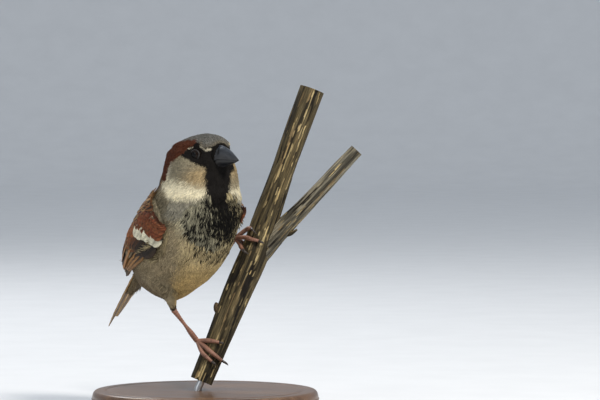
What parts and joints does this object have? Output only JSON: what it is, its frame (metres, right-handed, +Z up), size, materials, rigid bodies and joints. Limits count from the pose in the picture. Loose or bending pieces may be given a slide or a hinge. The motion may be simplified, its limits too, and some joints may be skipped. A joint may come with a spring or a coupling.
{
  "type": "house sparrow",
  "caption": "Male house sparrow clinging upright to a steep forked dead stem, head turned, as a still life-size museum model held by a plain round display stand.",
  "frame": {"origin": "centre of the round stand base's underside, where it rests on the floor", "axes": "+Z up; +X towards the side the forked stem leans to; -Y towards the side the breast and face turn to; the bird heads 58 degrees from +X towards -Y"},
  "size_m": [0.1183, 0.1006, 0.1429],
  "materials": {
    "plumage": "matte",
    "wing_feathers": "matte",
    "tail_feathers": "matte",
    "bill_horn": "satin",
    "eye": "gloss",
    "leg_skin": "satin",
    "claw": "satin",
    "bark": "matte",
    "base_wood": "satin",
    "rod_steel": "brushed"
  },
  "bodies": {
    "root": {"head": "plumage", "neck": "plumage", "trunk": "plumage", "thigh_right": "plumage", "thigh_left": "plumage", "wing_right": "wing_feathers", "wing_left": "wing_feathers", "primaries_right": "wing_feathers", "primaries_left": "wing_feathers", "tail": "tail_feathers", "bill_upper": "bill_horn", "bill_lower": "bill_horn", "eye_left": "eye", "eye_right": "eye", "tarsus_right": "leg_skin", "tarsus_left": "leg_skin", "toe_right_1": "leg_skin", "toe_right_2": "leg_skin", "toe_right_3": "leg_skin", "toe_right_4": "leg_skin", "toe_left_1": "leg_skin", "toe_left_2": "leg_skin", "toe_left_3": "leg_skin", "toe_left_4": "leg_skin", "claw_right_1": "claw", "claw_right_2": "claw", "claw_right_3": "claw", "claw_right_4": "claw", "claw_left_1": "claw", "claw_left_2": "claw", "claw_left_3": "claw", "claw_left_4": "claw", "perch_stem": "bark", "stand_base": "base_wood", "stand_rod": "rod_steel"}
  },
  "joints": []
}
